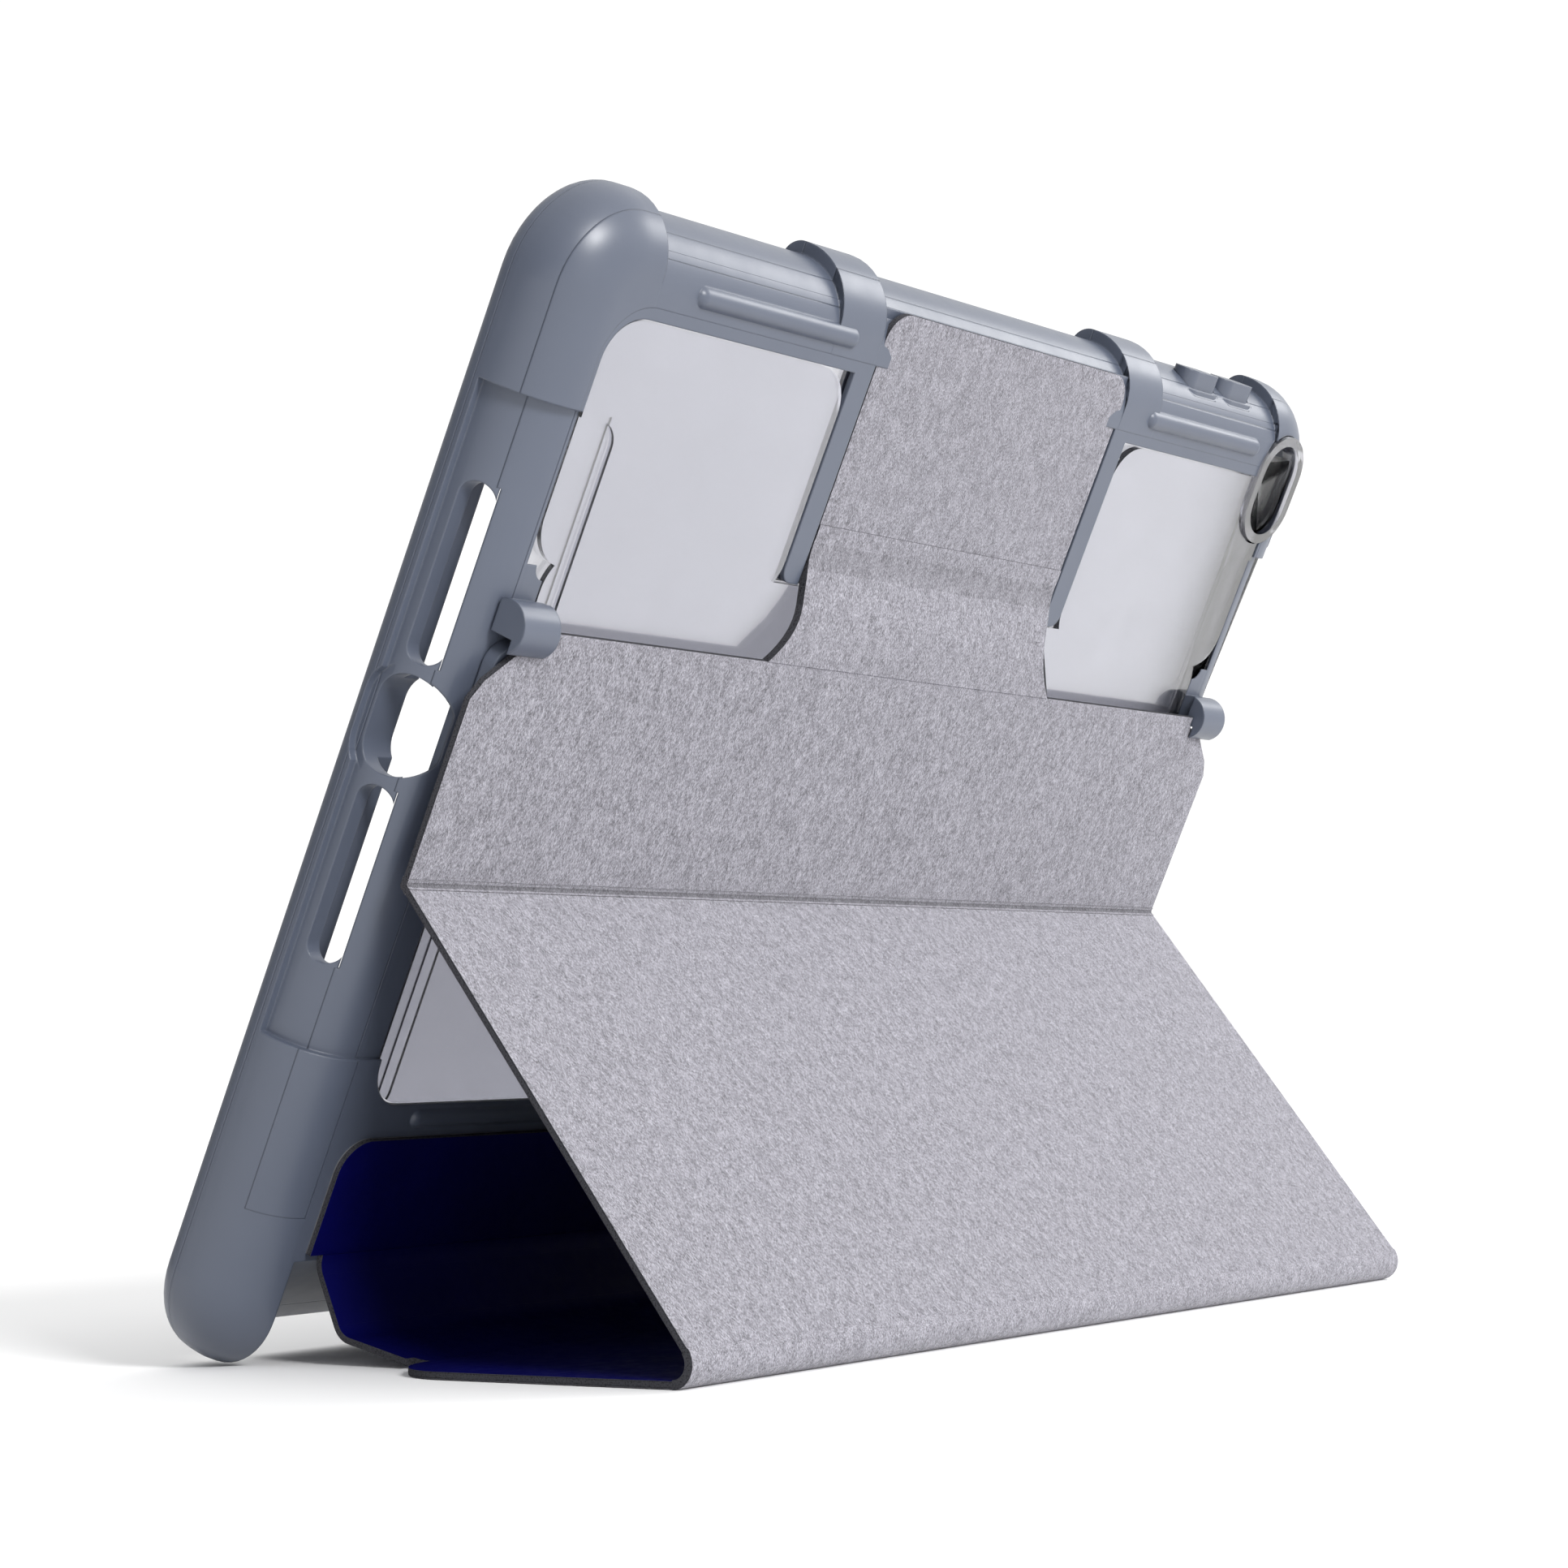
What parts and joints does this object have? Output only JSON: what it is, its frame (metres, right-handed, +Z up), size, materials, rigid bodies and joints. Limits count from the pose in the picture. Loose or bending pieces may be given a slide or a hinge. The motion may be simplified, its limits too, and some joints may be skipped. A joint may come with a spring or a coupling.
{
  "type": "tablet folio case",
  "caption": "Rugged tablet case with a clear back and a folding cover that stands it in landscape on a propped triangle.",
  "frame": {"origin": "centre of the footprint, on the surface that the case stands on", "axes": "+X along the case towards the camera opening, -Y towards the back and the prop panel, +Z up"},
  "size_m": [0.25, 0.1136, 0.1897],
  "materials": {
    "tpu": "satin blue-grey moulded TPU",
    "clear_polycarbonate": "clear, polished polycarbonate",
    "steel": "plain, nickel-plated",
    "core_board": "dark grey, finely porous board",
    "glue_film": "thin bonding film",
    "navy_skin": "fine-grained very dark navy synthetic leather",
    "grey_lining": "grey speckled microfibre"
  },
  "bodies": {
    "case": {"bumper_frame": "tpu", "clear_back": "clear_polycarbonate", "tab_keepers": "steel", "anchor_glue": "glue_film", "anchor_board": "core_board", "anchor_skin": "navy_skin"},
    "spine_upper": {"anchor_fold": "navy_skin", "spine_upper_skin": "navy_skin", "spine_upper_lining": "grey_lining"},
    "spine_lower": {"spine_crease": "navy_skin", "spine_lower_skin": "navy_skin", "spine_lower_lining": "grey_lining"},
    "ground_panel": {"spine_ground_fold": "navy_skin", "ground_skin": "navy_skin", "ground_board": "core_board", "ground_lining": "grey_lining"},
    "prop_panel": {"ground_fold": "grey_lining", "prop_skin": "navy_skin", "prop_board": "core_board", "prop_lining": "grey_lining", "prop_magnets": "steel"},
    "rest_panel": {"prop_fold": "grey_lining", "rest_skin": "navy_skin", "rest_board": "core_board", "rest_lining": "grey_lining", "rest_magnets": "steel"},
    "strap": {"strap_lower_fold": "grey_lining", "strap_skin": "navy_skin", "strap_lining": "grey_lining"},
    "tab": {"strap_upper_fold": "grey_lining", "tab_skin": "navy_skin", "tab_board": "core_board", "tab_lining": "grey_lining", "tab_magnets": "steel"},
    "volume_up": {"volume_up_button": "tpu"},
    "volume_down": {"volume_down_button": "tpu"},
    "power": {"power_button": "tpu"}
  },
  "joints": [
    {"name": "spine_top_fold", "type": "hinge", "parent": "case", "child": "spine_upper", "pos_m": [0, 0.03186, 0.0168], "axis": [1, 0, 0], "range_deg": [0, 87.45], "deforming": ["anchor_fold"]},
    {"name": "spine_middle_fold", "type": "hinge", "parent": "spine_upper", "child": "spine_lower", "pos_m": [0, 0.02697, 0.00475], "axis": [1, 0, 0], "range_deg": [0, 54.29], "deforming": ["spine_crease"]},
    {"name": "spine_bottom_fold", "type": "hinge", "parent": "spine_lower", "child": "ground_panel", "pos_m": [0, 0.01045, 0.00075], "axis": [1, 0, 0], "range_deg": [0, 154.56], "deforming": ["spine_ground_fold"]},
    {"name": "ground_panel_fold", "type": "hinge", "parent": "ground_panel", "child": "prop_panel", "pos_m": [0, -0.05649, 0.00218], "axis": [1, 0, 0], "range_deg": [0, 126.93], "deforming": ["ground_fold"]},
    {"name": "prop_panel_fold", "type": "hinge", "parent": "prop_panel", "child": "rest_panel", "pos_m": [0, -0.00122, 0.07848], "axis": [-1, 0, 0], "range_deg": [0, 63.23], "deforming": ["prop_fold"]},
    {"name": "strap_root_fold", "type": "hinge", "parent": "rest_panel", "child": "strap", "pos_m": [0, -0.02473, 0.12311], "axis": [1, 0, 0], "range_deg": [0, 104.52], "deforming": ["strap_lower_fold"]},
    {"name": "strap_tab_fold", "type": "hinge", "parent": "strap", "child": "tab", "pos_m": [0, -0.02765, 0.13717], "axis": [1, 0, 0], "range_deg": [0, 75.48], "deforming": ["strap_upper_fold"]},
    {"name": "volume_up_press", "type": "slide", "parent": "case", "child": "volume_up", "axis": [0, 0.4431, -0.8965], "range_m": [0, 0.0006], "stiffness_N_per_m": 700, "springref_m": -0.0004},
    {"name": "volume_down_press", "type": "slide", "parent": "case", "child": "volume_down", "axis": [0, 0.4431, -0.8965], "range_m": [0, 0.0006], "stiffness_N_per_m": 700, "springref_m": -0.0004},
    {"name": "power_press", "type": "slide", "parent": "case", "child": "power", "axis": [-1, 0, 0], "range_m": [0, 0.0006], "stiffness_N_per_m": 700, "springref_m": -0.0004}
  ],
  "couplings": [
    {"joint": "prop_panel_fold", "follows": "ground_panel_fold", "ratio": 0.49814}
  ]
}
